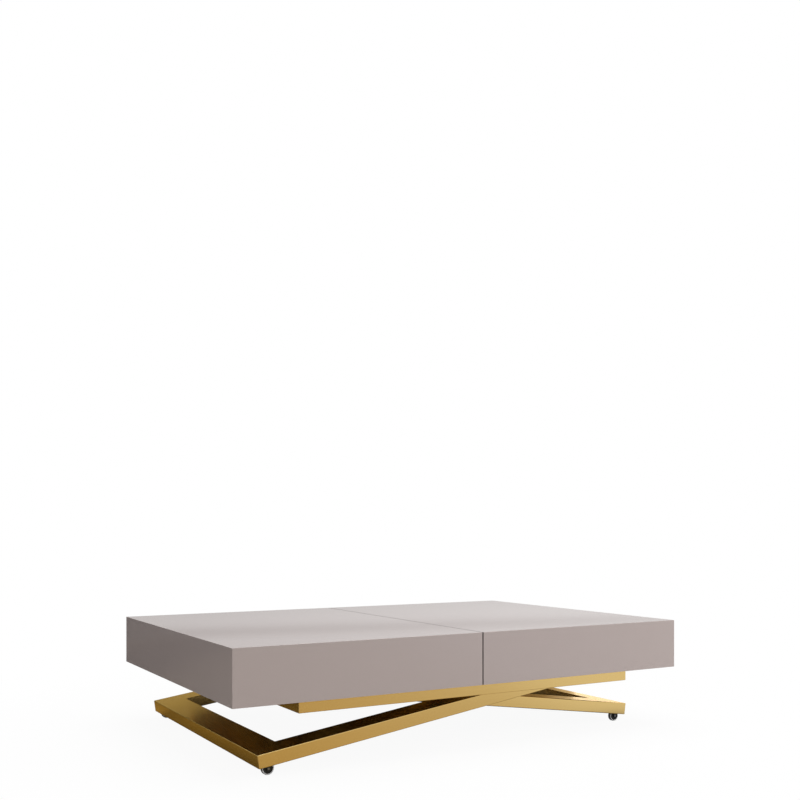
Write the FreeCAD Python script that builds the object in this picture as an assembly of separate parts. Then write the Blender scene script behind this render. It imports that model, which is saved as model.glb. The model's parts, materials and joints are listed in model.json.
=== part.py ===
import FreeCAD, Part
import math
import os

# Extending coffee table on a scissor base, at its lowest position, in millimetres.
# The origin is on the floor under the middle of the table, X runs along it, Z is up.
os.makedirs("parts", exist_ok=True)
Vec = FreeCAD.Vector

# Box top: two halves of mitred panels that part at a seam across the middle
table_length = 1220.0
table_width = 820.0
box_height = 122.0
panel_thickness = 16.0
seam_gap = 2.0
peg_diameter = 8.0
peg_grip = 18.0
peg_reach = 10.0
peg_tip_room = 3.0
peg_clearance = 0.3
peg_place_shares = (-0.6, 0.0, 0.6)

# Scissor legs: flat tubes, measured along each leg from the scissor pin
leg_slope = 8.0
lift_angle = 34.0
tube_width = 70.0
tube_thickness = 30.0
tube_wall = 2.0
foot_reach = 546.8
head_reach = 404.0
head_overrun = 20.0
cap_plate = 3.0
cap_plug = 6.0
tie_diameter = 25.0
tie_wall = 2.0

# Across the table, from the aprons inwards
rail_gap = 2.0
rail_thickness = 12.0
leg_gap = 3.0
scissor_gap = 7.0

# Upper frame
rail_show = 26.4
track_rise = 36.6
end_bar_thickness = 12.0
end_bar_room = 25.4
crossmember_width = 40.0
crossmember_height = 20.0
crossmember_wall = 2.0

# Telescopic slides, their beams and the hangers under the top
slide_length = 600.0
slide_height = 38.0
slide_depth = 12.7
slide_outer_depth = 10.0
slide_wall = 1.5
slide_gap = 2.2
slide_end_gap = 2.5
beam_base = 3.0
beam_base_width = 40.0
beam_web = 3.0
beam_inset = 64.0
hanger_thickness = 3.0
hanger_flange = 22.0
hanger_reach = 10.0
hanger_inset = 9.0

# Extension leaves and their felt pads
leaf_overhang = 80.0
leaf_thickness = 18.0
leaf_room = 18.8
pad_size = 30.0
pad_thickness = 2.0
pad_place_share = 0.72

# Pins, shafts and rollers of the scissor
pivot_diameter = 16.0
pivot_flange_diameter = 28.0
pivot_tip = 2.0
bush_wall = 4.0
shaft_diameter = 18.0
journal_diameter = 12.0
roller_diameter = 20.0
track_end_room = 4.0

# Castor wheels let into the underside of the feet
wheel_diameter = 28.0
wheel_width = 12.0
wheel_edge = 12.0
wheel_round = 2.0
wheel_recess = 1.0
wheel_rim = 1.0
wheel_hub_diameter = 9.0
wheel_room = 2.0
axle_diameter = 5.0
axle_inset = 24.8
axle_below_tube = 6.56
cheek_thickness = 2.0
cheek_flange = 6.0
cheek_gap = 0.5
lug_diameter = 9.0

# Lockable gas spring, its anchor and the release lever
gas_diameter = 24.0
gas_wall = 2.0
gas_end_wall = 8.0
gas_rod_diameter = 10.0
piston_length = 12.0
piston_spare = 5.0
eye_diameter = 30.0
eye_width = 14.0
neck_diameter = 16.0
anchor_room = 42.7
anchor_length = 30.0
anchor_width = 32.0
anchor_below = 15.0
anchor_plate = 10.0
rod_overhang = 6.0
valve_diameter = 4.0
valve_show = 6.0
valve_grip = 14.0
valve_travel_room = 6.0
lever_arm = 22.0
lever_width = 14.0
lever_thickness = 5.0
lever_end_room = 20.0
lever_tab = 6.0
lever_pin_diameter = 8.0
lever_pin_head_diameter = 14.0
lever_pin_head = 3.0
lever_hub_diameter = 18.0
plate_margin = 3.0

# Clearances: running fits, fixed fits, faces that pass each other, and one overrun for cuts
running_fit = 0.05
fixed_fit = 0.05
side_clearance = 0.3
cut_overrun = 5.0

# Places worked out from the sizes above
slope = math.radians(leg_slope)
raised_slope = math.radians(leg_slope + lift_angle)
half_turn = 180.0

half_length = table_length / 2
half_width = table_width / 2
inner_length = half_length - panel_thickness
inner_width = half_width - panel_thickness
seam_face = seam_gap / 2

rail_outer = inner_width - rail_gap
rail_inner = rail_outer - rail_thickness
outer_leg_half = rail_inner - leg_gap
inner_leg_half = outer_leg_half - tube_width - scissor_gap

wheel_radius = wheel_diameter / 2
axle_reach = foot_reach - axle_inset
axle_drop = tube_thickness / 2 + axle_below_tube
scissor_height = wheel_radius + axle_reach * math.sin(slope) + axle_drop * math.cos(slope)
head_height = scissor_height + head_reach * math.sin(slope)
head_x = head_reach * math.cos(slope)
track_travel = 2 * head_reach * (math.cos(slope) - math.cos(raised_slope))

rail_bottom = head_height - track_rise
box_bottom = rail_bottom + rail_show
box_top = box_bottom + box_height
top_underside = box_top - panel_thickness
bed_depth = beam_base + slide_height + 2 * slide_gap + hanger_thickness
bed_height = top_underside - bed_depth
rail_top = bed_height - crossmember_height
rail_half = head_x + head_overrun + end_bar_room + end_bar_thickness

beam_y = inner_width - beam_inset
leaf_depth = 2 * (beam_y - beam_web / 2 - slide_depth - hanger_flange - leaf_room)
slide_end = rail_half - slide_end_gap
slide_bottom = bed_height + beam_base + slide_gap
slide_middle_height = slide_bottom + slide_height / 2

gas_length = track_travel + piston_length + 2 * (gas_end_wall + piston_spare)
gas_start = -head_x + eye_diameter / 2
gas_end = gas_start + gas_length
anchor_start = gas_end + track_travel + anchor_room
anchor_end = anchor_start + anchor_length
crossmember_far = half_width - leaf_overhang
crossmember_near = anchor_start + anchor_length / 2


def box(x0, x1, y0, y1, z0, z1):
    return Part.makeBox(x1 - x0, y1 - y0, z1 - z0, Vec(x0, y0, z0))


def rod_x(x0, x1, y, z, diameter):
    return Part.makeCylinder(diameter / 2, x1 - x0, Vec(x0, y, z), Vec(1, 0, 0))


def rod_y(y0, y1, x, z, diameter):
    return Part.makeCylinder(diameter / 2, y1 - y0, Vec(x, y0, z), Vec(0, 1, 0))


def rod_z(z0, z1, x, y, diameter):
    return Part.makeCylinder(diameter / 2, z1 - z0, Vec(x, y, z0), Vec(0, 0, 1))


def outline(points):
    return Part.makePolygon([Vec(*point) for point in points + points[:1]])


def prism(points, along):
    return Part.Face(outline(points)).extrude(along)


def bar_x(profile, x0, x1):
    """A bar along X whose section is a list of (y, z) points."""
    return prism([(x0, y, z) for y, z in profile], Vec(x1 - x0, 0, 0))


def mirror_y(shape):
    return shape.mirror(Vec(0, 0, 0), Vec(0, 1, 0))


def front_and_rear(shape):
    return [mirror_y(shape), shape]


def save(node, solids):
    shape = solids[0] if len(solids) == 1 else Part.makeCompound(solids)
    shape.exportStep("parts/" + node + ".step")


# Box halves. Each panel is a slab whose mitred edges run from its outer to its inner face.
def mitred_panel(outer, inner):
    return Part.makeLoft([outline(outer), outline(inner)], True, True)


def flat_rectangle(x0, x1, y, z):
    return [(x0, -y, z), (x1, -y, z), (x1, y, z), (x0, y, z)]


def side_rectangle(x0, x1, y, z):
    return [(x0, y, box_bottom), (x1, y, box_bottom), (x1, y, z), (x0, y, z)]


def end_rectangle(x, y, z):
    return [(x, -y, box_bottom), (x, y, box_bottom), (x, y, z), (x, -y, z)]


peg_height = box_top - panel_thickness / 2
peg_places = [share * half_width for share in peg_place_shares]
peg_socket = {"right": (seam_face - cut_overrun, seam_face + peg_grip, fixed_fit),
              "left": (-seam_face - peg_reach - peg_tip_room, -seam_face + cut_overrun,
                       peg_clearance)}

for side, sign in (("left", -1), ("right", 1)):
    seam = sign * seam_face
    end = sign * half_length
    inner_end = sign * inner_length
    top = mitred_panel(flat_rectangle(seam, end, half_width, box_top),
                       flat_rectangle(seam, inner_end, inner_width, top_underside))
    socket_start, socket_end, socket_fit = peg_socket[side]
    for y in peg_places:
        top = top.cut(rod_x(socket_start, socket_end, y, peg_height, peg_diameter + 2 * socket_fit))
    save(side + "_top_panel", [top])
    apron = mitred_panel(side_rectangle(seam, end, half_width, box_top),
                         side_rectangle(seam, inner_end, inner_width, top_underside))
    save(side + "_front_apron", [mirror_y(apron)])
    save(side + "_rear_apron", [apron])
    save(side + "_end_apron", [mitred_panel(end_rectangle(end, half_width, box_top),
                                            end_rectangle(inner_end, inner_width, top_underside))])

save("seam_pegs", [rod_x(-seam_face - peg_reach, seam_face + peg_grip, y, peg_height, peg_diameter)
                   for y in peg_places])

# Side rails with the roller tracks at the left and the holes of the leg pivots at the right
track_height = roller_diameter + 2 * side_clearance
track_start = -head_x - track_end_room
track_end = -head_x + track_travel + track_end_room
rail = box(-rail_half, rail_half, rail_inner, rail_outer, rail_bottom, rail_top)
cut_y0 = rail_inner - cut_overrun
cut_y1 = rail_outer + cut_overrun
rail = rail.cut(box(track_start, track_end, cut_y0, cut_y1,
                    head_height - track_height / 2, head_height + track_height / 2))
for x in (track_start, track_end):
    rail = rail.cut(rod_y(cut_y0, cut_y1, x, head_height, track_height))
rail = rail.cut(rod_y(cut_y0, cut_y1, head_x, head_height, pivot_diameter + 2 * fixed_fit))
save("front_rail", [mirror_y(rail)])
save("rear_rail", [rail])

# End bars close the frame between the rails
for side, x in (("left", -rail_half), ("right", rail_half - end_bar_thickness)):
    save(side + "_end_bar", [box(x, x + end_bar_thickness, -rail_inner, rail_inner,
                                 rail_bottom, rail_top)])

# Tubular crossmembers lie across the rails
crossmember_places = (-crossmember_far, -crossmember_near, crossmember_near, crossmember_far)
for number, x in enumerate(crossmember_places, start=1):
    x0 = x - crossmember_width / 2
    x1 = x + crossmember_width / 2
    tube = box(x0, x1, -rail_outer, rail_outer, rail_top, bed_height)
    bore = box(x0 + crossmember_wall, x1 - crossmember_wall,
               -rail_outer - cut_overrun, rail_outer + cut_overrun,
               rail_top + crossmember_wall, bed_height - crossmember_wall)
    save("crossmember_" + str(number), [tube.cut(bore)])

# Slide beams: upright webs on a base flange, one near each long side
web_top = slide_bottom + slide_height
base_top = bed_height + beam_base
base_half = beam_base_width / 2
web_half = beam_web / 2
beam = bar_x([(beam_y - base_half, bed_height), (beam_y + base_half, bed_height),
              (beam_y + base_half, base_top), (beam_y + web_half, base_top),
              (beam_y + web_half, web_top), (beam_y - web_half, web_top),
              (beam_y - web_half, base_top), (beam_y - base_half, base_top)],
             -slide_end, slide_end)
save("front_slide_beam", [mirror_y(beam)])
save("rear_slide_beam", [beam])

# Telescopic slides: three nested channels. The right half's slides sit on the inner side of
# the webs and the left half's on the outer side, so the two sets pass each other.
middle_back = slide_wall + side_clearance
inner_lip = middle_back + slide_wall + side_clearance
outer_half = slide_height / 2
middle_half = outer_half - slide_wall - side_clearance
inner_half = middle_half - slide_wall - side_clearance


def channel(back, lip, half):
    """A channel section: back and lips as distances from the web, half its height."""
    wall = math.copysign(slide_wall, lip - back)
    inside = half - slide_wall
    return [(back, -half), (lip, -half), (lip, -inside), (back + wall, -inside),
            (back + wall, inside), (lip, inside), (lip, half), (back, half)]


def slide_bar(section, side, x0, x1):
    sign = 1 if side == "right" else -1
    profile = [(beam_y - sign * (web_half + distance), slide_middle_height + rise)
               for distance, rise in section]
    return bar_x(profile, sign * x0, sign * x1)


slide_start = slide_end - slide_length
hanger_start = seam_face + hanger_inset
hanger_back = slide_depth + hanger_thickness
hanger_top = top_underside - slide_middle_height
hanger_section = [(slide_depth, -hanger_reach), (hanger_back, -hanger_reach),
                  (hanger_back, hanger_top - hanger_thickness),
                  (slide_depth + hanger_flange, hanger_top - hanger_thickness),
                  (slide_depth + hanger_flange, hanger_top), (slide_depth, hanger_top)]
fixed_members = []
for side in ("left", "right"):
    fixed = slide_bar(channel(0, slide_outer_depth, outer_half), side, slide_start, slide_end)
    fixed_members += front_and_rear(fixed)
    runner = slide_bar(channel(middle_back, slide_outer_depth, middle_half), side,
                       slide_start, slide_end)
    save(side + "_slide_runners", front_and_rear(runner))
    inner = slide_bar(channel(slide_depth, inner_lip, inner_half), side, slide_start, slide_end)
    save(side + "_slide_inners", front_and_rear(inner))
    hanger = slide_bar(hanger_section, side, hanger_start, slide_end - slide_end_gap)
    save(side + "_hangers", front_and_rear(hanger))
save("slide_outers", fixed_members)

# Two extension leaves lie turned a quarter on felt pads over the crossmembers
pad_half = pad_size / 2
pads = []
leaf_bottom = bed_height + pad_thickness
for name in ("lower_leaf", "upper_leaf"):
    save(name, [box(-half_width, half_width, -leaf_depth / 2, leaf_depth / 2,
                    leaf_bottom, leaf_bottom + leaf_thickness)])
    for x in (-crossmember_far, crossmember_far):
        for y in (-pad_place_share * leaf_depth / 2, pad_place_share * leaf_depth / 2):
            pads.append(box(x - pad_half, x + pad_half, y - pad_half, y + pad_half,
                            leaf_bottom - pad_thickness, leaf_bottom))
    leaf_bottom += leaf_thickness + pad_thickness
save("leaf_pads", pads)

# Legs. Each is made lying along X with the scissor pin at its middle and its foot towards -X,
# then tilted, and the inner leg is also turned half round so that the two cross.
tube_half = tube_thickness / 2
bore_half = tube_half - tube_wall
tube_end = head_reach + head_overrun - cap_plate


def place(leg, shape):
    shape = shape.copy()
    shape.rotate(Vec(0, 0, 0), Vec(0, 1, 0), -leg_slope)
    shape.translate(Vec(0, 0, scissor_height))
    if leg == "inner_leg":
        shape.rotate(Vec(0, 0, 0), Vec(0, 0, 1), half_turn)
    return shape


def flat_tube(outside, inside):
    """A hollow of the tube between its upper and lower walls, from plan outlines."""
    body = prism([(x, y, -tube_half) for x, y in outside], Vec(0, 0, tube_thickness))
    bore = prism([(x, y, -bore_half) for x, y in inside], Vec(0, 0, 2 * bore_half))
    return body.cut(bore)


def side_plan(half, wall, end):
    foot = -foot_reach
    return [(foot + wall, half - wall), (end, half - wall), (end, half - tube_width + wall),
            (foot + tube_width - wall, half - tube_width + wall)]


def foot_plan(half, wall):
    near = -foot_reach + wall
    far = -foot_reach + tube_width - wall
    return [(near, wall - half), (near, half - wall), (far, half - tube_width + wall),
            (far, tube_width - half - wall)]


wheel_half = wheel_width / 2
cheek_inside = wheel_half + cheek_gap
cheek_outside = cheek_inside + cheek_thickness
floor_of_tube = -tube_half + tube_wall


def wheel_slot(y):
    """The cut through the lower wall of a foot that takes a wheel and its cheeks."""
    reach = wheel_radius + wheel_room
    side = cheek_outside + side_clearance
    return box(-axle_reach - reach, -axle_reach + reach, y - side, y + side,
               -tube_half - cut_overrun, floor_of_tube)


def cheek(y, sign):
    """An axle cheek: a flange on the tube's lower wall and a lug through the slot."""
    lug_radius = lug_diameter / 2
    inside = y + sign * cheek_inside
    outside = y + sign * cheek_outside
    edge = outside + sign * cheek_flange
    low, high = min(inside, outside), max(inside, outside)
    x0 = -axle_reach - lug_radius
    x1 = -axle_reach + lug_radius
    plate = box(x0, x1, low, high, -axle_drop, floor_of_tube + cheek_thickness)
    plate = plate.fuse(rod_y(low, high, -axle_reach, -axle_drop, lug_diameter))
    plate = plate.fuse(box(x0, x1, min(inside, edge), max(inside, edge),
                           floor_of_tube, floor_of_tube + cheek_thickness))
    bore = rod_y(low - cut_overrun, high + cut_overrun, -axle_reach, -axle_drop,
                 axle_diameter + 2 * running_fit)
    return plate.cut(bore).removeSplitter()


def wheel(y):
    """A wheel turned about the axle, with rounded tread edges and a recess on each side."""
    def disc(y0, y1, diameter):
        return rod_y(y0, y1, -axle_reach, -axle_drop, diameter)

    body = disc(y - wheel_half, y + wheel_half, wheel_diameter)
    edges = [edge for edge in body.Edges if edge.Curve.TypeId == "Part::GeomCircle"]
    body = body.makeFillet(wheel_round, edges)
    web_diameter = wheel_diameter - 2 * (wheel_round + wheel_rim)
    for y0 in (y - wheel_half, y + wheel_half - wheel_recess):
        y1 = y0 + wheel_recess
        body = body.cut(disc(y0, y1, web_diameter).cut(disc(y0, y1, wheel_hub_diameter)))
    return body.cut(disc(y - wheel_width, y + wheel_width, axle_diameter + 2 * running_fit))


bush_diameter = pivot_diameter + 2 * (running_fit + bush_wall)
leg_holes = {"outer_leg": ((0, pivot_diameter + 2 * fixed_fit),
                           (head_reach, pivot_diameter + 2 * running_fit)),
             "inner_leg": ((0, bush_diameter + 2 * fixed_fit),
                           (head_reach, shaft_diameter + 2 * fixed_fit))}
leg_sides = {"outer_leg": ("left", outer_leg_half), "inner_leg": ("right", inner_leg_half)}
# The inner leg is turned half round, so what is made at its rear ends up in front.
wheel_places = {"outer_leg": (("front", -1), ("rear", 1)), "inner_leg": (("front", 1), ("rear", -1))}

for leg, (side, half) in leg_sides.items():
    tube = flat_tube(side_plan(half, 0, tube_end), side_plan(half, tube_wall, tube_end + cut_overrun))
    # The scissor pin of the outer leg stops behind the outer wall, so that wall stays plain.
    for place_x, diameter in leg_holes[leg]:
        blind = leg == "outer_leg" and place_x == 0
        hole_end = half - tube_wall if blind else half + cut_overrun
        tube = tube.cut(rod_y(half - tube_width - cut_overrun, hole_end, place_x, 0, diameter))
    wheel_y = half - wheel_edge - wheel_half
    tube = tube.cut(wheel_slot(wheel_y))
    save(leg + "_front_tube", [place(leg, mirror_y(tube) if leg == "outer_leg" else tube)])
    save(leg + "_rear_tube", [place(leg, tube if leg == "outer_leg" else mirror_y(tube))])
    foot = flat_tube(foot_plan(half, 0), foot_plan(half, tube_wall))
    save(leg + "_foot_tube", [place(leg, foot.cut(wheel_slot(wheel_y)).cut(wheel_slot(-wheel_y)))])

    # Plastic caps plug the head ends of the tubes
    cap = box(tube_end, tube_end + cap_plate, half - tube_width, half, -tube_half, tube_half)
    cap = cap.fuse(box(tube_end - cap_plug, tube_end,
                       half - tube_width + tube_wall + fixed_fit, half - tube_wall - fixed_fit,
                       -bore_half + fixed_fit, bore_half - fixed_fit))
    save(leg + "_caps", [place(leg, solid) for solid in front_and_rear(cap)])

    cheeks = [cheek(wheel_y, sign) for sign in (-1, 1)]
    save(side + "_axle_cheeks",
         [place(leg, solid) for single in cheeks for solid in front_and_rear(single)])
    axle = rod_y(wheel_y - cheek_outside, wheel_y + cheek_outside, -axle_reach, -axle_drop,
                 axle_diameter)
    save(side + "_axles", [place(leg, solid) for solid in front_and_rear(axle)])
    for end, sign in wheel_places[leg]:
        save(end + "_" + side + "_wheel", [place(leg, wheel(sign * wheel_y))])

# Scissor pins, fixed in the outer leg, and the flanged bushes of the inner leg
bush_inside = inner_leg_half - tube_width
bush_shoulder = inner_leg_half + scissor_gap - side_clearance
bush = rod_y(bush_inside, inner_leg_half, 0, 0, bush_diameter)
bush = bush.fuse(rod_y(inner_leg_half, bush_shoulder, 0, 0, tube_thickness - 2 * fixed_fit))
bush = bush.cut(rod_y(bush_inside - cut_overrun, bush_shoulder + cut_overrun, 0, 0,
                      pivot_diameter + 2 * running_fit))
save("scissor_bushes", [place("inner_leg", solid) for solid in front_and_rear(bush)])
scissor_pin = rod_y(bush_inside, outer_leg_half - tube_wall, 0, 0, pivot_diameter)
save("scissor_pins", [place("outer_leg", solid) for solid in front_and_rear(scissor_pin)])

# The outer leg's head tie and the shouldered pivots that carry the leg on the rails
tie_half = outer_leg_half - tube_width
tie = rod_y(-tie_half, tie_half, head_reach, 0, tie_diameter)
tie_bore = rod_y(-tie_half - cut_overrun, tie_half + cut_overrun, head_reach, 0,
                 tie_diameter - 2 * tie_wall)
save("outer_leg_head_tie", [place("outer_leg", tie.cut(tie_bore))])
pivot = rod_y(tie_half - pivot_tip, rail_outer - side_clearance, head_x, head_height, pivot_diameter)
pivot = pivot.fuse(rod_y(outer_leg_half + side_clearance, rail_inner, head_x, head_height,
                         pivot_flange_diameter))
save("head_pivots", front_and_rear(pivot))

# The inner leg's head shaft and the two rollers that run in the rails
journal_end = rail_outer - side_clearance
shaft_half = rail_inner - side_clearance
shaft = rod_y(-shaft_half, shaft_half, -head_x, head_height, shaft_diameter)
shaft = shaft.fuse(rod_y(-journal_end, journal_end, -head_x, head_height, journal_diameter))
save("head_shaft", [shaft])
roller = rod_y(rail_inner + side_clearance, journal_end, -head_x, head_height, roller_diameter)
roller = roller.cut(rod_y(rail_inner, rail_outer, -head_x, head_height,
                          journal_diameter + 2 * running_fit))
save("front_track_roller", [mirror_y(roller)])
save("rear_track_roller", [roller])

# Gas spring: the cylinder hangs on the head shaft, the rod is held by the anchor
eye = rod_y(-eye_width / 2, eye_width / 2, -head_x, head_height, eye_diameter)
cylinder = rod_x(gas_start, gas_end, 0, head_height, gas_diameter)
cylinder = cylinder.fuse(rod_x(-head_x, gas_start, 0, head_height, neck_diameter)).fuse(eye)
cylinder = cylinder.cut(rod_x(gas_start + gas_end_wall, gas_end - gas_end_wall, 0, head_height,
                              gas_diameter - 2 * gas_wall))
cylinder = cylinder.cut(rod_x(gas_end - 2 * gas_end_wall, gas_end + cut_overrun, 0, head_height,
                              gas_rod_diameter + 2 * running_fit))
cylinder = cylinder.cut(rod_y(-eye_width, eye_width, -head_x, head_height,
                              shaft_diameter + 2 * running_fit))
save("gas_cylinder", [cylinder])

rod_end = anchor_end + rod_overhang
piston_end = gas_end - gas_end_wall - piston_spare
piston_diameter = gas_diameter - 2 * (gas_wall + running_fit)
gas_rod = rod_x(piston_end, rod_end, 0, head_height, gas_rod_diameter)
gas_rod = gas_rod.fuse(rod_x(piston_end - piston_length, piston_end, 0, head_height, piston_diameter))
gas_rod = gas_rod.cut(rod_x(rod_end - valve_grip - valve_travel_room, rod_end + cut_overrun, 0,
                            head_height, valve_diameter + 2 * running_fit))
save("gas_rod", [gas_rod])

valve_end = rod_end + valve_show
save("valve_pin", [rod_x(rod_end - valve_grip, valve_end, 0, head_height, valve_diameter)])

# Anchor block under a crossmember, with a plate that carries the lever's pin
lever_x = valve_end + side_clearance + lever_width / 2
plate_bottom = rail_top - anchor_plate
plate_side = lever_arm + lever_hub_diameter / 2 + plate_margin
anchor = box(anchor_start, anchor_end, -anchor_width / 2, anchor_width / 2,
             head_height - anchor_below, rail_top)
anchor = anchor.fuse(box(anchor_start, lever_x + lever_hub_diameter / 2 + plate_margin,
                         -anchor_width / 2, plate_side, plate_bottom, rail_top))
anchor = anchor.cut(rod_x(anchor_start - cut_overrun, anchor_end + cut_overrun, 0, head_height,
                          gas_rod_diameter + 2 * fixed_fit))
anchor = anchor.cut(rod_z(plate_bottom - cut_overrun, rail_top + cut_overrun, lever_x, lever_arm,
                          lever_pin_diameter + 2 * fixed_fit))
save("spring_anchor", [anchor.removeSplitter()])

# Release lever: a flat arm with a hub on its pin, its tab behind the valve pin
lever_bottom = head_height - lever_thickness / 2
lever_top = head_height + lever_thickness / 2
lever_end = rail_inner - lever_end_room
lever = box(lever_x - lever_width / 2, lever_x + lever_width / 2, -lever_tab, lever_end,
            lever_bottom, lever_top)
lever = lever.fuse(rod_z(lever_bottom, lever_top, lever_x, lever_end, lever_width))
lever = lever.fuse(rod_z(lever_bottom, plate_bottom - side_clearance, lever_x, lever_arm,
                         lever_hub_diameter))
lever = lever.cut(rod_z(lever_bottom - cut_overrun, rail_top, lever_x, lever_arm,
                        lever_pin_diameter + 2 * running_fit))
save("release_lever", [lever.removeSplitter()])
head_top = lever_bottom - side_clearance
lever_pin = rod_z(head_top, rail_top, lever_x, lever_arm, lever_pin_diameter)
lever_pin = lever_pin.fuse(rod_z(head_top - lever_pin_head, head_top, lever_x, lever_arm,
                                 lever_pin_head_diameter))
save("lever_pin", [lever_pin])
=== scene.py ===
import json
import math
import bpy
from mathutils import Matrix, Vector


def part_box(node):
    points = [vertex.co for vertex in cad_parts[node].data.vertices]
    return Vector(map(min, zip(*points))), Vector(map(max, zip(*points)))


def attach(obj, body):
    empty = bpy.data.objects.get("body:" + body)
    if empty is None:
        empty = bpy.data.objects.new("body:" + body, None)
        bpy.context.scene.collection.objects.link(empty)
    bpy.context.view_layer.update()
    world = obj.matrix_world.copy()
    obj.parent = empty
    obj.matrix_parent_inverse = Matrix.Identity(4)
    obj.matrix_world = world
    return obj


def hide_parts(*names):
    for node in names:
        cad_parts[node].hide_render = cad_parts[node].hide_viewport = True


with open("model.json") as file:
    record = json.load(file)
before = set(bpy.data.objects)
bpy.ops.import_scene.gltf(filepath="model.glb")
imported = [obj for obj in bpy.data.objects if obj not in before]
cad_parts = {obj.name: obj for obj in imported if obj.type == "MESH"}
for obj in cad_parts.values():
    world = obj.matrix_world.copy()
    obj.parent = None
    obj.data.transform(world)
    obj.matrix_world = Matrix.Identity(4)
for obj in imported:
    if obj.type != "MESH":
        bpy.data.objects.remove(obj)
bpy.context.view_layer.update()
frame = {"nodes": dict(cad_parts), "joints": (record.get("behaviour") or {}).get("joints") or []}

# Castor wheels: a grey soft tread moulded round a black hub disc, with a pale rim ring
# pressed in between, its paleness partly a painted highlight on the tread's shoulder. One wheel
# is modelled and copied to the other places, and each turns on a short steel axle held by two
# zinc cheeks that come down through a slot in the foot.
millimetre = 0.001
quarter_turn = math.radians(90.0)
tread_colour = (0.14, 0.14, 0.145, 1.0)
# Partly the rim's own pale plastic, partly a painted highlight on the tread's shoulder.
rim_and_highlight_colour = (0.85, 0.85, 0.86, 1.0)
disc_colour = (0.005, 0.005, 0.006, 1.0)
axle_colour = (0.22, 0.22, 0.225, 1.0)
cheek_colour = (0.05, 0.05, 0.052, 1.0)
plate_grain = (150.0, 150.0, 150.0)
noise_low = 0.3
noise_high = 0.7
tread_share = 0.76
tread_round = 1.6 * millimetre
rim_step = 1.0 * millimetre
rim_stand = 0.25 * millimetre
disc_step = 3.0 * millimetre
disc_dip = 0.8 * millimetre
dish_share = 0.2
wheel_steps = 72


def add_node(tree, kind, inputs, operation=None):
    """Adds a shader node. An input given another node's output is linked, any other is set."""
    node = tree.nodes.new("ShaderNode" + kind)
    if operation:
        node.operation = operation
    for key, value in inputs.items():
        if isinstance(value, bpy.types.NodeSocket):
            tree.links.new(value, node.inputs[key])
        else:
            node.inputs[key].default_value = value
    return node


def add_ramp(tree, value, stops):
    """The colour that a row of stops, each a place and a colour, gives at a value."""
    ramp = add_node(tree, "ValToRGB", {"Fac": value})
    stop_list = ramp.color_ramp.elements
    for number, (place, colour) in enumerate(stops):
        if number > 1:
            stop_list.new(place)
        stop_list[number].position = place
        stop_list[number].color = (*colour, 1.0)
    return ramp.outputs["Color"]


def fade_between(tree, value, start, end, low, high, curve="LINEAR"):
    """Turns a value that runs from start to end into one that runs from low to high."""
    fade = add_node(tree, "MapRange", {"Value": value, "From Min": start, "From Max": end,
                                       "To Min": low, "To Max": high})
    fade.interpolation_type = curve
    return fade.outputs["Result"]


def make_material(name, colour, roughness, metallic=0.0, grain=(300.0, 300.0, 300.0), turn=0.0,
                  colour_spread=0.06, roughness_spread=0.12, bump=0.02, bump_height=0.0004,
                  edge_tint=(1.0, 1.0, 1.0, 1.0), gleam=0.5):
    """A shader with noise on Object coordinates for its colour, gloss and fine relief."""
    material = bpy.data.materials.new(name)
    material.use_nodes = True
    tree = material.node_tree
    shader = tree.nodes["Principled BSDF"]
    shader.inputs["Metallic"].default_value = metallic
    shader.inputs["Specular Tint"].default_value = edge_tint
    shader.inputs["Specular IOR Level"].default_value = gleam
    place = add_node(tree, "TexCoord", {})
    mapping = add_node(tree, "Mapping", {"Vector": place.outputs["Object"]})
    mapping.vector_type = "TEXTURE"
    mapping.inputs["Rotation"].default_value = (0.0, turn, 0.0)
    mapping.inputs["Scale"].default_value = [1.0 / rate for rate in grain]
    noise = add_node(tree, "TexNoise", {"Vector": mapping.outputs["Vector"], "Scale": 1.0, "Detail": 4.0})
    grain_level = noise.outputs["Fac"]
    stops = []
    for level, factor in ((noise_low, 1.0 - colour_spread), (noise_high, 1.0 + colour_spread)):
        stops.append((level, [min(channel * factor, 1.0) for channel in colour[:3]]))
    tint = add_ramp(tree, grain_level, stops)
    gloss = fade_between(tree, grain_level, noise_low, noise_high,
                         roughness * (1.0 - roughness_spread), roughness * (1.0 + roughness_spread))
    relief = add_node(tree, "Bump", {"Height": grain_level, "Strength": bump, "Distance": bump_height})
    tree.links.new(tint, shader.inputs["Base Color"])
    tree.links.new(gloss, shader.inputs["Roughness"])
    tree.links.new(relief.outputs["Normal"], shader.inputs["Normal"])
    return material


def dress(node, material):
    """Gives a CAD node's own object a finish."""
    mesh = frame["nodes"][node].data
    mesh.materials.clear()
    mesh.materials.append(material)


def pick(piece):
    """Makes a piece the active one and the only one selected."""
    bpy.ops.object.select_all(action="DESELECT")
    piece.select_set(True)
    bpy.context.view_layer.objects.active = piece


def settle(piece, name, body, slot, *nodes):
    """Puts a finished piece's place in its mesh, ties it to its body and hides its CAD nodes. The slot is
    not used.
    """
    pick(piece)
    bpy.ops.object.transform_apply(location=True, rotation=True, scale=True)
    piece.name = name
    piece.data.name = name
    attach(piece, body)
    if nodes:
        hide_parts(*nodes)


def bevel_edges(piece, width, segments=3, angle=30.0):
    """Rounds every edge of a piece that is sharper than the angle."""
    bpy.context.view_layer.objects.active = piece
    bevel = piece.modifiers.new("edges", "BEVEL")
    bevel.width = width
    bevel.segments = segments
    bevel.limit_method = "ANGLE"
    bevel.angle_limit = math.radians(angle)
    bevel.harden_normals = False
    bpy.ops.object.modifier_apply(modifier=bevel.name)


def smooth_faces(piece, angle=35.0):
    """Shades the rounded edges smooth and leaves the flat faces flat."""
    pick(piece)
    bpy.ops.object.shade_smooth_by_angle(angle=math.radians(angle))
    flat = piece.modifiers.new("flat_faces", "WEIGHTED_NORMAL")
    flat.keep_sharp = True
    bpy.ops.object.modifier_apply(modifier=flat.name)


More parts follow.
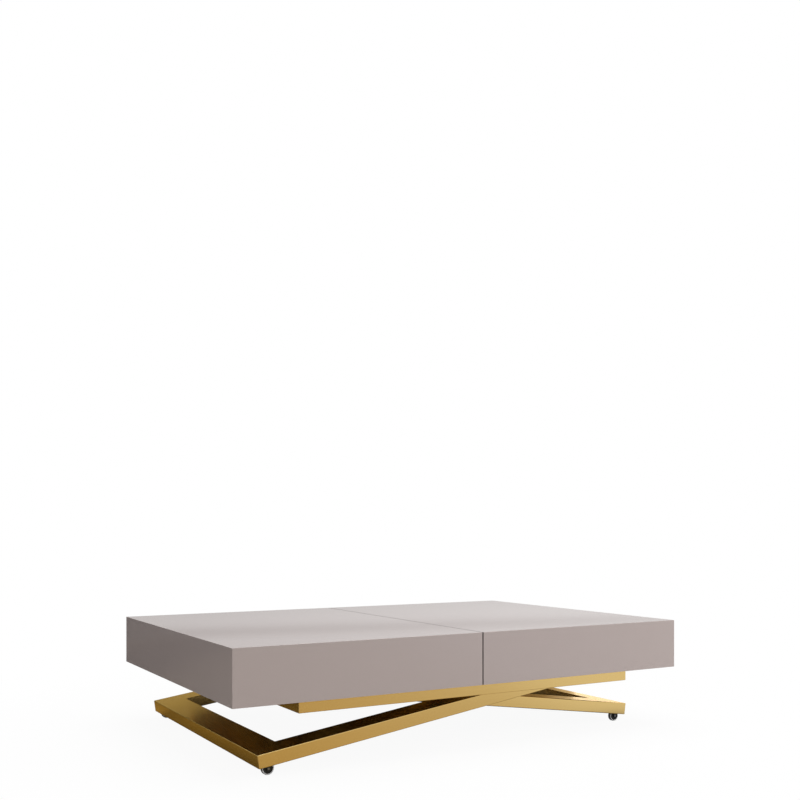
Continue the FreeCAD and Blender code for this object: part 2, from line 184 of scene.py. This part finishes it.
def select_parts(piece, kind, wanted):
    """Selects the vertices, edges or faces that a test picks, and stays in edit mode."""
    pick(piece)
    bpy.ops.object.mode_set(mode="EDIT")
    bpy.ops.mesh.select_mode(type=kind)
    bpy.ops.mesh.select_all(action="DESELECT")
    bpy.ops.object.mode_set(mode="OBJECT")
    parts = {"VERT": piece.data.vertices, "EDGE": piece.data.edges, "FACE": piece.data.polygons}
    for part in parts[kind]:
        part.select = wanted(part)
    bpy.ops.object.mode_set(mode="EDIT")


def turned_disc(centre, radius, width):
    """A cylinder on its side, with its axis across the table."""
    bpy.ops.object.select_all(action="DESELECT")
    bpy.ops.mesh.primitive_cylinder_add(vertices=wheel_steps, radius=radius, depth=width,
                                        location=centre, rotation=(quarter_turn, 0.0, 0.0))
    return bpy.context.object


def select_ends(piece):
    """Selects the two round end faces of a turned disc and stays in edit mode."""
    select_parts(piece, "FACE", lambda face: len(face.vertices) == wheel_steps)


def round_ends(piece, width, segments):
    """Rounds the two end edges of a turned disc."""
    select_ends(piece)
    bpy.ops.mesh.bevel(offset=width, segments=segments, affect="EDGES")
    bpy.ops.object.mode_set(mode="OBJECT")


def dip_ends(piece, inset, depth):
    """Insets both ends of a turned disc and sinks the inner faces."""
    select_ends(piece)
    bpy.ops.mesh.inset(thickness=inset, use_individual=True)
    bpy.ops.mesh.extrude_region_shrink_fatten(TRANSFORM_OT_shrink_fatten={"value": -depth})
    bpy.ops.object.mode_set(mode="OBJECT")


def twin_of(piece, shift):
    """A second piece of the same form with a mesh of its own, set off from the first."""
    pick(piece)
    bpy.ops.object.duplicate(linked=False)
    twin = bpy.context.object
    twin.location = twin.location + shift
    return twin


tread_soft = make_material("grey_tread", tread_colour, roughness=0.42, bump=0.05)
rim_and_painted_highlight = make_material("pale_rim_and_painted_highlight", rim_and_highlight_colour, roughness=0.3)
hub_disc = make_material("black_hub", disc_colour, roughness=0.45)
axle_steel = make_material("axle_steel", axle_colour, roughness=0.35, metallic=1.0)
dark_zinc = make_material("dark_zinc", cheek_colour, roughness=0.4, metallic=1.0, grain=plate_grain)

wheels = ("front_left_wheel", "rear_left_wheel", "front_right_wheel", "rear_right_wheel")
low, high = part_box(wheels[0])
wheel_centre = (low + high) / 2
radius = (high.z - low.z) / 2
width = high.y - low.y
tread = turned_disc(wheel_centre, radius, width * tread_share)
round_ends(tread, tread_round, segments=5)
smooth_faces(tread)
tread.data.materials.append(tread_soft)
rim = turned_disc(wheel_centre, radius - rim_step, width * tread_share + 2 * rim_stand)
round_ends(rim, rim_stand, segments=2)
smooth_faces(rim)
rim.data.materials.append(rim_and_painted_highlight)
disc = turned_disc(wheel_centre, radius - disc_step, width)
round_ends(disc, disc_dip, segments=3)
dip_ends(disc, radius * dish_share, disc_dip)
dip_ends(disc, radius * dish_share, -disc_dip / 2)
bevel_edges(disc, disc_dip / 4)
smooth_faces(disc)
disc.data.materials.append(hub_disc)

# The modelled wheel itself comes last, after its copies.
for node in reversed(wheels):
    low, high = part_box(node)
    for part, piece in (("tread", tread), ("rim", rim), ("disc", disc)):
        twin = piece if node == wheels[0] else twin_of(piece, (low + high) / 2 - wheel_centre)
        replaced = [node] if part == "tread" else []
        settle(twin, node + "_" + part, node, "wheel_plastic", *replaced)
for side in ("left", "right"):
    dress(side + "_axles", axle_steel)
    dress(side + "_axle_cheeks", dark_zinc)

# Leg frames: flat steel tube mitred and welded into a U, ground flush and brushed along each
# tube under a gold finish. The outer leg's foot is at the left and the inner leg's at the
# right, and the castors are let into the underside of the feet.
gold_colour = (0.71, 0.505, 0.2, 1.0)
gold_edge = (0.8, 0.62, 0.32, 1.0)
gold_roughness = 0.24
brush_along = 8.0
brush_across = 2600.0
tube_width = 70.0 * millimetre
tube_thickness = 30.0 * millimetre
tube_edge = 1.8 * millimetre
foot_reach = 546.8 * millimetre
head_reach = 421.0 * millimetre
weld_gap = 0.1 * millimetre
mitre_slant = 0.3
slot_margin = 2.0 * millimetre
slot_depth = 12.0 * millimetre
cheek_room = 2.8 * millimetre
joints = {joint["name"]: joint for joint in frame["joints"]}
scissor = Vector(joints["scissor"]["pos_m"])
head = Vector(joints["frame_level"]["pos_m"])
slope = math.atan2(head.z - scissor.z, head.x - scissor.x)


def brushed_gold(name, along, turn=0.0):
    """The gold finish with its brush marks along one axis."""
    grain = [brush_across] * 3
    grain["xyz".index(along)] = brush_along
    return make_material(name, gold_colour, gold_roughness, metallic=1.0, grain=grain, turn=turn,
                         colour_spread=0.025, bump=0.006, bump_height=0.0002, edge_tint=gold_edge)


def block(low, high):
    """A cube primitive between two corners, with its place in its mesh."""
    bpy.ops.object.select_all(action="DESELECT")
    bpy.ops.mesh.primitive_cube_add(size=1.0, location=(Vector(low) + Vector(high)) / 2)
    piece = bpy.context.object
    piece.scale = Vector(high) - Vector(low)
    bpy.ops.object.transform_apply(location=True, rotation=True, scale=True)
    return piece


def push_corner(piece, wanted, shift):
    """Moves the vertices whose place a test picks."""
    select_parts(piece, "VERT", lambda vertex: wanted(vertex.co))
    bpy.ops.transform.translate(value=shift)
    bpy.ops.object.mode_set(mode="OBJECT")


def delete_faces(piece, wanted):
    """Deletes the faces that a test picks."""
    select_parts(piece, "FACE", wanted)
    bpy.ops.mesh.delete(type="FACE")
    bpy.ops.object.mode_set(mode="OBJECT")


def work_solid(piece, other, operation):
    """Cuts a second solid out of a piece or welds it on, and removes the second one."""
    bpy.context.view_layer.objects.active = piece
    work = piece.modifiers.new("work", "BOOLEAN")
    work.operation = operation
    work.solver = "EXACT"
    work.object = other
    bpy.ops.object.modifier_apply(modifier=work.name)
    bpy.data.objects.remove(other)


def leg_frame(half, foot_sign, along, across):
    """A welded U of three tubes, made flat with the scissor pin at the origin and then put in place."""
    rise = tube_thickness / 2
    foot_middle = -foot_reach + tube_width / 2
    tubes = []
    for side in (-1, 1):
        near, far = sorted((side * half, side * (half - tube_width)))
        tube = block((-foot_reach, near, -rise), (head_reach, far, rise))
        push_corner(tube, lambda at: at.x < 0 and abs(at.y) < half - tube_width / 2, (tube_width, 0, 0))
        tube.data.materials.append(along)
        tubes.append(tube)
    foot = block((-foot_reach, -half, -rise), (-foot_reach + tube_width, half, rise))
    for side in (-1, 1):
        push_corner(foot, lambda at: at.x > foot_middle and at.y * side > 0, (0, -side * tube_width, 0))
    foot.data.materials.append(across)
    tubes.append(foot)
    for tube in tubes:
        delete_faces(tube, lambda face: abs(face.normal.x * face.normal.y) > mitre_slant)
    welded = tubes[0]
    pick(welded)
    for tube in tubes:
        tube.select_set(True)
    bpy.ops.object.join()
    bpy.ops.object.mode_set(mode="EDIT")
    bpy.ops.mesh.select_all(action="SELECT")
    bpy.ops.mesh.remove_doubles(threshold=weld_gap)
    bpy.ops.mesh.normals_make_consistent(inside=False)
    bpy.ops.object.mode_set(mode="OBJECT")
    bevel_edges(welded, tube_edge)
    welded.rotation_euler = (0.0, -slope, 0.0)
    bpy.ops.object.transform_apply(location=True, rotation=True, scale=True)
    welded.rotation_euler = (0.0, 0.0, 0.0 if foot_sign < 0 else math.pi)
    welded.location = scissor
    bpy.ops.object.transform_apply(location=True, rotation=True, scale=True)
    return welded


gold_across = brushed_gold("gold_brushed_across", "y")
leg_sides = {"outer_leg": ("left", -1), "inner_leg": ("right", 1)}
for leg, (side, foot_sign) in leg_sides.items():
    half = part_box(leg + "_foot_tube")[1].y
    gold_leg = brushed_gold("gold_brushed_" + leg, "x", foot_sign * slope)
    welded = leg_frame(half, foot_sign, gold_leg, gold_across)
    for end in ("front", "rear"):
        low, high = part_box(end + "_" + side + "_wheel")
        middle = (low + high) / 2
        room = Vector((high.x - middle.x + slot_margin, high.y - middle.y + cheek_room))
        slot_top = middle.z + (tube_thickness + slot_depth) / 2
        slot = block((middle.x - room.x, middle.y - room.y, 0.0),
                     (middle.x + room.x, middle.y + room.y, slot_top))
        work_solid(welded, slot, "DIFFERENCE")
    smooth_faces(welded)
    settle(welded, leg + "_welded_frame", leg, "gold_steel",
           leg + "_front_tube", leg + "_rear_tube", leg + "_foot_tube")

# Ends and pivots of the legs: moulded caps plug the tube heads, a round tie joins the outer
# leg's heads, and turned steel pins, a shaft and plastic bushes carry the scissor.
moulded_colour = (0.018, 0.018, 0.019, 1.0)
steel_colour = (0.6, 0.6, 0.61, 1.0)
turning_grain = (900.0, 40.0, 900.0)
moulded_black = make_material("moulded_black", moulded_colour, roughness=0.45, bump=0.06)
turned_steel = make_material("turned_steel", steel_colour, roughness=0.22, metallic=1.0,
                             grain=turning_grain)
for node in ("outer_leg_caps", "inner_leg_caps", "scissor_bushes", "front_track_roller",
             "rear_track_roller"):
    dress(node, moulded_black)
for node in ("scissor_pins", "head_pivots", "head_shaft"):
    dress(node, turned_steel)
dress("outer_leg_head_tie", gold_across)

# Upper frame: two flat side rails with end bars welded between them, brushed gold, and tubular
# crossmembers laid over the rails. The rails hold the leg pivots and the roller tracks.
bar_edge = 2.0 * millimetre
flat_angle = 1.0
loose_gap = 0.005 * millimetre
side_gap = 0.05 * millimetre
crossmember_count = 4


def merged_copy(node):
    """A copy of a CAD node on its own, with its loose triangles merged."""
    pick(frame["nodes"][node])
    bpy.ops.object.duplicate(linked=False)
    piece = bpy.context.object
    piece.parent = None
    for key in list(piece.keys()):
        del piece[key]
    bpy.ops.object.mode_set(mode="EDIT")
    bpy.ops.mesh.select_mode(type="VERT")
    bpy.ops.mesh.select_all(action="SELECT")
    bpy.ops.mesh.remove_doubles(threshold=loose_gap)
    bpy.ops.object.mode_set(mode="OBJECT")
    return piece


def flatten(piece):
    """Dissolves the edges between faces that lie in one plane."""
    pick(piece)
    bpy.ops.object.mode_set(mode="EDIT")
    bpy.ops.mesh.select_all(action="SELECT")
    bpy.ops.mesh.remove_doubles(threshold=loose_gap)
    bpy.ops.mesh.dissolve_limited(angle_limit=math.radians(flat_angle))
    bpy.ops.object.mode_set(mode="OBJECT")


def round_outer_edges(piece, width, segments=3):
    """Rounds the edges where two of a piece's outermost sides meet."""
    spots = [vertex.co for vertex in piece.data.vertices]
    sides = []
    for axis in range(3):
        for outermost in (min, max):
            sides.append((axis, outermost(at[axis] for at in spots)))
    touched = []
    for at in spots:
        touched.append({side for side in sides if abs(at[side[0]] - side[1]) < side_gap})
    select_parts(piece, "EDGE",
                 lambda edge: len(touched[edge.vertices[0]] & touched[edge.vertices[1]]) == 2)
    bpy.ops.mesh.bevel(offset=width, segments=segments, affect="EDGES")
    bpy.ops.object.mode_set(mode="OBJECT")


gold_rail = brushed_gold("gold_brushed_rail", "x")
ring_nodes = ("front_rail", "rear_rail", "left_end_bar", "right_end_bar")
ring = merged_copy(ring_nodes[0])
for node in ring_nodes[1:]:
    work_solid(ring, merged_copy(node), "UNION")
flatten(ring)
round_outer_edges(ring, bar_edge)
smooth_faces(ring)
ring.data.materials.clear()
ring.data.materials.append(gold_rail)
ring.data.materials.append(gold_across)
bar_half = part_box("right_end_bar")[1].y
for face in ring.data.polygons:
    face.material_index = int(abs(face.center.y) < bar_half)
settle(ring, "upper_frame_ring", "top_frame", "gold_steel", *ring_nodes)
for number in range(crossmember_count):
    node = "crossmember_" + str(number + 1)
    member = merged_copy(node)
    flatten(member)
    round_outer_edges(member, bar_edge)
    smooth_faces(member)
    member.data.materials.clear()
    member.data.materials.append(gold_across)
    settle(member, node + "_tube", "top_frame", "gold_steel", node)

# Slides: aluminium beams stand on the crossmembers and carry telescopic slides of rolled,
# zinc plated steel. Folded hangers screwed under the top ride on their inner members.
aluminium_colour = (0.66, 0.66, 0.67, 1.0)
zinc_colour = (0.55, 0.55, 0.56, 1.0)
drawn_grain = (6.0, 700.0, 700.0)
rolled_grain = (8.0, 600.0, 600.0)
mill_aluminium = make_material("mill_aluminium", aluminium_colour, roughness=0.38, metallic=1.0,
                               grain=drawn_grain)
rolled_zinc = make_material("rolled_zinc", zinc_colour, roughness=0.28, metallic=1.0, grain=rolled_grain)
for node in ("front_slide_beam", "rear_slide_beam"):
    dress(node, mill_aluminium)
for node in ("slide_outers", "left_slide_runners", "right_slide_runners", "left_slide_inners",
             "right_slide_inners", "left_hangers", "right_hangers"):
    dress(node, rolled_zinc)

# Lift assist: a black gas spring between the head shaft and a zinc plated anchor block, let go
# by a flat lever that presses the valve pin in the end of its polished rod.
enamel_colour = (0.015, 0.015, 0.015, 1.0)
enamel = make_material("black_enamel", enamel_colour, roughness=0.25, bump=0.01)
zinc_plate = make_material("zinc_plate", zinc_colour, roughness=0.32, metallic=1.0, grain=plate_grain)
for node in ("gas_cylinder", "release_lever"):
    dress(node, enamel)
for node in ("gas_rod", "valve_pin", "lever_pin"):
    dress(node, turned_steel)
dress("spring_anchor", zinc_plate)

# Box halves: board panels mitred into an open-bottomed box and sprayed with smooth taupe
# lacquer, the edges only just broken. The seam ends stay open, their faces painted dark as
# painted shade in the seam gap, and beech pegs glued into the right half line them up.
lacquer_colour = (0.402, 0.338, 0.32, 1.0)
# Painted shade: the dark colour of the seam faces, for the shade in the gap.
painted_seam_shade_colour = (0.06, 0.05, 0.046, 1.0)
beech_colour = (0.55, 0.36, 0.19, 1.0)
beech_grain = (20.0, 300.0, 300.0)
spray_grain = (420.0, 420.0, 420.0)
panel_thickness = 16.0 * millimetre
panel_edge = 0.6 * millimetre
rim_edge = 0.12 * millimetre
peg_reach = 246.0 * millimetre
peg_clearance = 0.3 * millimetre
socket_room = 3.0 * millimetre
socket_steps = 24
facing = 0.9
lacquer = make_material("taupe_lacquer", lacquer_colour, roughness=0.08, grain=spray_grain,
                        colour_spread=0.012, roughness_spread=0.1, bump=0.012, bump_height=0.0002,
                        gleam=0.3)
painted_seam_shade_finish = make_material("painted_seam_shade", painted_seam_shade_colour, roughness=0.5, bump=0.05)
beech = make_material("beech", beech_colour, roughness=0.5, grain=beech_grain, colour_spread=0.15)
for side, sign in (("left", -1), ("right", 1)):
    top_low, top_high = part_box(side + "_top_panel")
    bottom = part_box(side + "_end_apron")[0].z
    shell = block((top_low.x, top_low.y, bottom), top_high)
    delete_faces(shell, lambda face: face.normal.z < -facing or face.normal.x * sign < -facing)
    walls = shell.modifiers.new("walls", "SOLIDIFY")
    walls.thickness = panel_thickness
    walls.offset = -1.0
    walls.use_even_offset = True
    bpy.ops.object.modifier_apply(modifier=walls.name)
    round_outer_edges(shell, panel_edge)
    bevel_edges(shell, rim_edge, segments=2, angle=60.0)
    seam = top_low.x
    if side == "left":
        seam = top_high.x
        peg_low, peg_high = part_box("seam_pegs")
        for peg_y in (-peg_reach, 0.0, peg_reach):
            bpy.ops.object.select_all(action="DESELECT")
            bpy.ops.mesh.primitive_cylinder_add(
                vertices=socket_steps,
                radius=(peg_high.z - peg_low.z) / 2 + peg_clearance,
                depth=2 * (seam - peg_low.x + socket_room),
                location=(seam, peg_y, (peg_low.z + peg_high.z) / 2),
                rotation=(0.0, quarter_turn, 0.0))
            work_solid(shell, bpy.context.object, "DIFFERENCE")
    smooth_faces(shell)
    shell.data.materials.append(lacquer)
    shell.data.materials.append(painted_seam_shade_finish)
    for face in shell.data.polygons:
        # The faces at the seam get the painted shade of the seam gap.
        face.material_index = int(abs(face.center.x - seam) < panel_edge)
    settle(shell, side + "_half_shell", side + "_half", "lacquered_wood", side + "_top_panel",
           side + "_front_apron", side + "_rear_apron", side + "_end_apron")
dress("seam_pegs", beech)

# Extension leaves: two boards lacquered like the top, with their edges broken. They lie flat
# inside the box on felt pads, one over the other.
felt_colour = (0.06, 0.058, 0.055, 1.0)
felt_grain = (1500.0, 1500.0, 1500.0)
felt = make_material("felt", felt_colour, roughness=0.9, grain=felt_grain, bump=0.4)
for node in ("lower_leaf", "upper_leaf"):
    low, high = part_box(node)
    leaf = block(low, high)
    bevel_edges(leaf, panel_edge)
    smooth_faces(leaf)
    leaf.data.materials.append(lacquer)
    settle(leaf, node + "_board", "top_frame", "lacquered_wood", node)
dress("leaf_pads", felt)

# Floor: a white studio floor that keeps a faint shadow of the table. The camera sees it white,
# and reflections see a painted reflection on it instead: painted tones warmer towards the left,
# painted shade darker to the left and under the table, and painted shade along a dark lane that
# leads off behind it.
floor_size = 60.0
floor_colour = (0.68, 0.68, 0.68, 1.0)
shadow_near = 0.5
shadow_far = 1.5
shadow_white = 0.94
# Painted reflection: reflections see the floor tan towards the left and white to the right.
warm_way = (1.0, 0.3, 0.0)
warm_reach = 1.0
painted_warm_floor_tones = ((0.2, (0.63, 0.5, 0.29)), (0.58, (0.73, 0.68, 0.59)),
              (0.74, (0.95, 0.96, 0.98)), (1.0, (1.0, 1.0, 1.0)))
# Painted shade: reflections see the floor darker towards the left.
left_way = (1.0, -0.2, 0.0)
left_reach = 1.0
painted_left_shade_levels = ((0.15, 0.14), (0.28, 0.4), (0.38, 0.76), (0.5, 0.52), (0.58, 1.0))
# Painted shade: reflections see the floor nearly black under the table, as its shadow.
painted_under_shade_edges = {"X": (0.44, 0.72), "Y": (0.3, 0.46)}
painted_under_shade_level = 0.04
# Painted shade: reflections see a dark lane on the floor that leads off behind the table.
lane_way = (0.763, 0.646, 0.0)
lane_middle = 0.28
lane_half = 0.1
lane_clear = 0.4
painted_lane_shade_level = 0.05
lane_start = 0.2
lane_full = 0.4


def blank_tree(owner):
    """An empty node graph in a material or a world."""
    owner.use_nodes = True
    owner.node_tree.nodes.clear()
    return owner.node_tree


def work_out(tree, operation, *values):
    """The result of one step of arithmetic on one or two values."""
    return add_node(tree, "Math", dict(enumerate(values)), operation).outputs["Value"]


def along(tree, spot, way):
    """How far a spot lies along a direction."""
    return add_node(tree, "VectorMath", {0: spot, 1: way}, "DOT_PRODUCT").outputs["Value"]


def greys(levels):
    """The stops of a ramp from places and grey levels."""
    return [(place, (level, level, level)) for place, level in levels]


bpy.ops.object.select_all(action="DESELECT")
bpy.ops.mesh.primitive_plane_add(size=floor_size, location=(0.0, 0.0, 0.0))
studio_floor = bpy.context.object
studio_floor.name = "studio_floor"
floor_paint = bpy.data.materials.new("floor_paint")
tree = blank_tree(floor_paint)
rays = add_node(tree, "LightPath", {})
spot = add_node(tree, "TexCoord", {}).outputs["Object"]
axes = add_node(tree, "SeparateXYZ", {"Vector": spot})

lit = add_node(tree, "BsdfDiffuse", {"Color": floor_colour})
white = add_node(tree, "Emission", {"Strength": 1.0})
away = add_node(tree, "VectorMath", {0: spot}, "LENGTH").outputs["Value"]
whiteness = fade_between(tree, away, shadow_near, shadow_far, shadow_white, 1.0, "SMOOTHSTEP")
seen = work_out(tree, "MULTIPLY", rays.outputs["Is Camera Ray"], whiteness)
plain = add_node(tree, "MixShader", {"Fac": seen, 1: lit.outputs["BSDF"], 2: white.outputs["Emission"]})

warm_place = fade_between(tree, along(tree, spot, warm_way), -warm_reach, warm_reach, 0.0, 1.0)
painted_warm_floor_tone = add_ramp(tree, warm_place, painted_warm_floor_tones)
left_place = fade_between(tree, along(tree, spot, left_way), -left_reach, 0.0, 0.0, 1.0)
painted_left_shade = add_ramp(tree, left_place, greys(painted_left_shade_levels))
under = []
for axis, (dark, clear) in painted_under_shade_edges.items():
    apart = work_out(tree, "ABSOLUTE", axes.outputs[axis])
    under.append(fade_between(tree, apart, dark, clear, painted_under_shade_level, 1.0, "SMOOTHSTEP"))
painted_under_shade = work_out(tree, "MAXIMUM", *under)
lane_offset = work_out(tree, "SUBTRACT", along(tree, spot, lane_way), lane_middle)
lane_apart = work_out(tree, "ABSOLUTE", lane_offset)
lane_edge = fade_between(tree, lane_apart, lane_half, lane_clear, painted_lane_shade_level, 1.0, "SMOOTHSTEP")
lane_front = fade_between(tree, axes.outputs["Y"], lane_start, lane_full, 1.0, 0.0)
lane = work_out(tree, "MAXIMUM", lane_edge, lane_front)
# The painted reflection's strength: the painted shades under the table, to the left and along the lane.
strength = work_out(tree, "MULTIPLY", work_out(tree, "MULTIPLY", painted_under_shade, painted_left_shade), lane)
painted_floor_reflection = add_node(tree, "Emission", {"Color": painted_warm_floor_tone, "Strength": strength})

# Glossy and transmission rays see the painted reflection in place of the lit floor.
bounced = work_out(tree, "MAXIMUM", rays.outputs["Is Glossy Ray"], rays.outputs["Is Transmission Ray"])
paint = add_node(tree, "MixShader", {"Fac": bounced, 1: plain.outputs["Shader"],
                                     2: painted_floor_reflection.outputs["Emission"]})
add_node(tree, "OutputMaterial", {"Surface": paint.outputs["Shader"]})
studio_floor.data.materials.append(floor_paint)

# Cards: a dark cloth flag at the left keeps light off the left end. The other cards are painted
# reflections, glowing sheets that only reflections see: a warm one behind the right foot, and behind
# the table a dark one and a wide one with painted tones in bands, one of them a dark band. These
# two fade out at their borders.
card_half = 0.5
flag_colour = (0.24, 0.24, 0.24, 1.0)
# Painted reflection: tones of the warm card, darker to the left.
painted_warm_card_tones = ((0.0, (0.34, 0.25, 0.11)), (0.45, (0.42, 0.32, 0.15)), (1.0, (0.95, 0.88, 0.72)))
# Painted shade: a dark card that reflections see behind the table.
painted_dark_card_tones = ((0.0, 0.05), (1.0, 0.05))
dim_borders = (0.25, 0.3)
# Painted reflection: light tones in bands with one dark band, brighter to the right.
painted_back_card_tones = ((0.0, 0.46), (0.25, 0.54), (0.315, 0.63), (0.331, 0.16), (0.343, 0.16),
              (0.358, 0.62), (0.41, 0.62), (0.5, 0.3))
back_borders = (0.29, 0.38)
painted_card_rise = 1.38
rise_reach = 0.23


def painted_reflection_sheet(name, bands, rise_to, borders):
    """A painted reflection: a glowing sheet with painted tones by height, brighter to the right, that
    fades out at its borders.
    """
    material = bpy.data.materials.new(name)
    tree = blank_tree(material)
    spot = add_node(tree, "TexCoord", {}).outputs["Object"]
    axes = add_node(tree, "SeparateXYZ", {"Vector": spot})
    height = fade_between(tree, axes.outputs["Y"], -card_half, card_half, 0.0, 1.0)
    band = add_ramp(tree, height, greys(bands))
    rise = fade_between(tree, axes.outputs["X"], -rise_reach, rise_reach, 1.0, rise_to)
    painted_glow = add_node(tree, "Emission", {"Color": band, "Strength": rise})
    covers = []
    for axis, start in zip("XY", borders):
        apart = work_out(tree, "ABSOLUTE", axes.outputs[axis])
        covers.append(fade_between(tree, apart, start, card_half, 1.0, 0.0, "SMOOTHSTEP"))
    cover = work_out(tree, "MINIMUM", *covers)
    clear = add_node(tree, "BsdfTransparent", {})
    soft = add_node(tree, "MixShader", {"Fac": cover, 1: clear.outputs["BSDF"],
                                        2: painted_glow.outputs["Emission"]})
    add_node(tree, "OutputMaterial", {"Surface": soft.outputs["Shader"]})
    return material


flag_cloth = make_material("flag_cloth", flag_colour, roughness=0.9)
painted_back_reflection = painted_reflection_sheet("painted_back_reflection", painted_back_card_tones, painted_card_rise, back_borders)
painted_dark_reflection = painted_reflection_sheet("painted_dark_reflection", painted_dark_card_tones, 1.0, dim_borders)
# Painted reflection: a warm glowing sheet, darker to the left, that reflections see behind the right
# foot.
painted_warm_reflection = bpy.data.materials.new("painted_warm_reflection")
tree = blank_tree(painted_warm_reflection)
spot = add_node(tree, "TexCoord", {}).outputs["Object"]
axes = add_node(tree, "SeparateXYZ", {"Vector": spot})
painted_warm_card_place = fade_between(tree, axes.outputs["X"], -card_half, card_half, 0.0, 1.0)
painted_warm_card_tone = add_ramp(tree, painted_warm_card_place, painted_warm_card_tones)
painted_glow = add_node(tree, "Emission", {"Color": painted_warm_card_tone, "Strength": 1.0})
add_node(tree, "OutputMaterial", {"Surface": painted_glow.outputs["Emission"]})

# Each card has its place in metres, its turn in degrees, its size in metres and its finish.
cards = {"left_flag": ((-2.4, 0.9, 1.1), (0.0, 90.0, 0.0), (2.2, 2.8), flag_cloth),
         "right_card": ((0.93, 0.5, 0.1), (90.0, 0.0, 0.0), (0.26, 0.24), painted_warm_reflection),
         "dim_card": ((-1.4, 2.25, 0.28), (90.0, 0.0, 0.0), (2.6, 0.8), painted_dark_reflection),
         "back_card": ((1.65, 2.3, 0.75), (90.0, -1.3, 0.0), (6.5, 1.1), painted_back_reflection)}
for name, (place, turn, size, finish) in cards.items():
    bpy.ops.object.select_all(action="DESELECT")
    bpy.ops.mesh.primitive_plane_add(size=1.0, location=place,
                                     rotation=[math.radians(angle) for angle in turn])
    card = bpy.context.object
    card.name = name
    card.scale = (*size, 1.0)
    # Only the flag blocks light; the other cards are painted reflections that only reflections see.
    card.visible_camera = False
    card.visible_diffuse = name == "left_flag"
    card.visible_shadow = name == "left_flag"
    card.visible_glossy = name != "left_flag"
    card.data.materials.append(finish)

# Light: a large softbox overhead, one at the right in front, kept out of reflections, and a low
# strip at the right behind, with an even white fill all round. The camera and reflections see
# that fill as a white backdrop.
aim_point = Vector((0.0, 0.0, 0.14))
white_light = (1.0, 1.0, 1.0, 1.0)
fill_strength = 0.5
backdrop_strength = 1.0

# Each lamp has its place and size in metres and its power in watts.
lamps = {"overhead_softbox": ((0.3, 0.0, 3.0), (3.0, 2.4), 90.0),
         "right_softbox": ((2.6, -2.6, 1.7), (2.2, 1.8), 56.0),
         "low_strip": ((2.4, 2.0, 0.14), (1.4, 0.24), 2.6)}
for name, (place, size, power) in lamps.items():
    lamp = bpy.data.lights.new(name, "AREA")
    lamp.shape = "RECTANGLE"
    lamp.size, lamp.size_y = size
    lamp.energy = power
    holder = bpy.data.objects.new(name, lamp)
    bpy.context.scene.collection.objects.link(holder)
    holder.location = place
    holder.visible_glossy = name != "right_softbox"
    aim = aim_point - Vector(place)
    holder.rotation_euler = aim.to_track_quat("-Z", "Y").to_euler()

world = bpy.data.worlds.new("studio")
bpy.context.scene.world = world
tree = blank_tree(world)
rays = add_node(tree, "LightPath", {})
fill = add_node(tree, "Background", {"Color": white_light, "Strength": fill_strength})
backdrop = add_node(tree, "Background", {"Color": white_light, "Strength": backdrop_strength})
direct = work_out(tree, "MAXIMUM", rays.outputs["Is Camera Ray"], rays.outputs["Is Glossy Ray"])
clear = work_out(tree, "MAXIMUM", direct, rays.outputs["Is Transmission Ray"])
sky = add_node(tree, "MixShader", {"Fac": clear, 1: fill.outputs["Background"],
                                   2: backdrop.outputs["Background"]})
add_node(tree, "OutputWorld", {"Surface": sky.outputs["Shader"]})

# Camera: level, at seated eye height in front of the left corner, with the frame shifted up
# so that the table stands low in the picture.
sensor_width = 36.0
lens_length = 44.04
picture_shift = 0.1619
eye_place = (-1.3001, -2.2741, 0.5138)
eye_turn = math.radians(-30.045)
camera = bpy.data.cameras.new("camera")
camera.sensor_width = sensor_width
camera.lens = lens_length
camera.shift_y = picture_shift
camera_holder = bpy.data.objects.new("camera", camera)
bpy.context.scene.collection.objects.link(camera_holder)
camera_holder.location = eye_place
camera_holder.rotation_euler = (quarter_turn, 0.0, eye_turn)
bpy.context.scene.camera = camera_holder
bpy.context.scene.view_settings.view_transform = "Standard"
